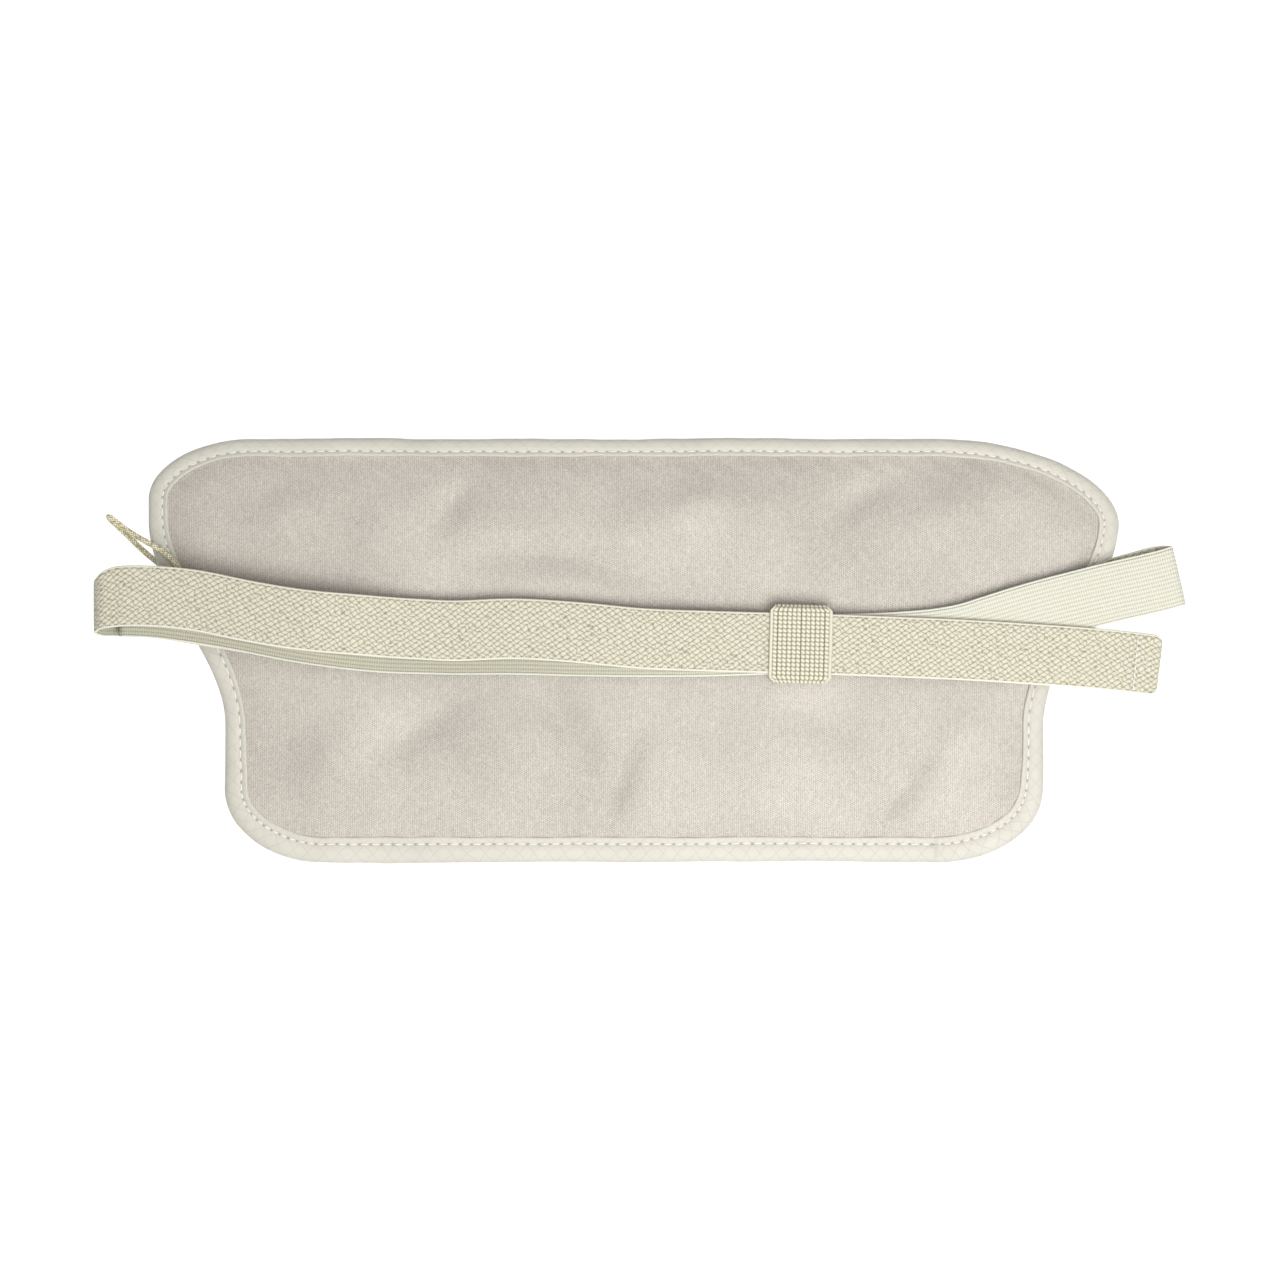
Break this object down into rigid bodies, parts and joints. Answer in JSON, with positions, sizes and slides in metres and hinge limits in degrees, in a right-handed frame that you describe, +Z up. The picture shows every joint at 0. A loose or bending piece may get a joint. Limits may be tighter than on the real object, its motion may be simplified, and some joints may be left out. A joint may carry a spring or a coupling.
{
  "type": "money belt",
  "caption": "Flat zipped waist pouch with bound edges and an elastic strap, closed by a flat side-release buckle, folded over its back and held by a sliding keeper loop.",
  "frame": {"origin": "middle of the folded belt's box, on the surface that the front panel lies on", "axes": "+X along the pouch towards the strap's folded root, +Y towards the pouch's longer top edge, +Z up through the back panel to the strap"},
  "size_m": [0.3493, 0.1364, 0.0192],
  "materials": {
    "knit_fabric": "fine warm grey-beige knit with upright wales",
    "lining": "thin plain woven lining",
    "binding": "satin grey-green cream bias binding",
    "zip_tape": "woven zip tape",
    "zip_coil": "nylon coil",
    "zip_metal": "satin enamelled zip metal",
    "braided_cord": "olive-gold and cream braid",
    "elastic": "cream elastic webbing, pebbled on one face and ribbed on the other",
    "thread": "polyester sewing thread",
    "buckle_plastic": "satin moulded beige plastic"
  },
  "bodies": {
    "pouch": {"front_panel": "knit_fabric", "back_panel": "knit_fabric", "inner_divider": "lining", "edge_binding": "binding", "main_zip_tapes": "zip_tape", "main_zip_coil": "zip_coil", "main_zip_stops": "zip_metal", "pocket_zip_tapes": "zip_tape", "pocket_zip_coil": "zip_coil", "pocket_zip_stops": "zip_metal", "strap_root_fold": "elastic", "strap_lower_run": "elastic", "strap_left_turns": "elastic", "strap_upper_run": "elastic", "strap_hem": "elastic", "short_strap": "elastic", "strap_bar_tacks": "thread", "buckle_socket": "buckle_plastic", "buckle_plug": "buckle_plastic"},
    "main_zip_slider": {"main_slider": "zip_metal", "main_pull_pin": "zip_metal"},
    "main_zip_pull": {"main_pull_tab": "zip_metal"},
    "pocket_zip_slider": {"pocket_slider": "zip_metal", "pull_cord": "braided_cord"},
    "keeper": {"keeper_loop": "elastic"},
    "upper_prong": {"prong_upper": "buckle_plastic"},
    "lower_prong": {"prong_lower": "buckle_plastic"}
  },
  "joints": [
    {"name": "main_zip_slide", "type": "slide", "parent": "pouch", "child": "main_zip_slider", "axis": [1, 0, 0], "range_m": [0, 0.239]},
    {"name": "main_pull_swing", "type": "hinge", "parent": "main_zip_slider", "child": "main_zip_pull", "pos_m": [-0.129, 0.04, 0.0005], "axis": [0, 1, 0], "range_deg": [0, 120]},
    {"name": "pocket_zip_slide", "type": "slide", "parent": "pouch", "child": "pocket_zip_slider", "axis": [1, 0, 0], "range_m": [0, 0.242], "deforming": ["pull_cord"]},
    {"name": "keeper_slide", "type": "slide", "parent": "pouch", "child": "keeper", "axis": [0.9997, -0.0262, 0], "range_m": [-0.028, 0.02]},
    {"name": "prong_upper_press", "type": "hinge", "parent": "pouch", "child": "upper_prong", "pos_m": [-0.12944, 0.01775, 0.0136], "axis": [0, 0, -1], "range_deg": [0, 11], "stiffness_Nm_per_rad": 0.2},
    {"name": "prong_lower_press", "type": "hinge", "parent": "pouch", "child": "lower_prong", "pos_m": [-0.13149, 0.00552, 0.0136], "axis": [0, 0, 1], "range_deg": [0, 11], "stiffness_Nm_per_rad": 0.2}
  ],
  "couplings": [
    {"joint": "prong_lower_press", "follows": "prong_upper_press", "ratio": 1}
  ]
}
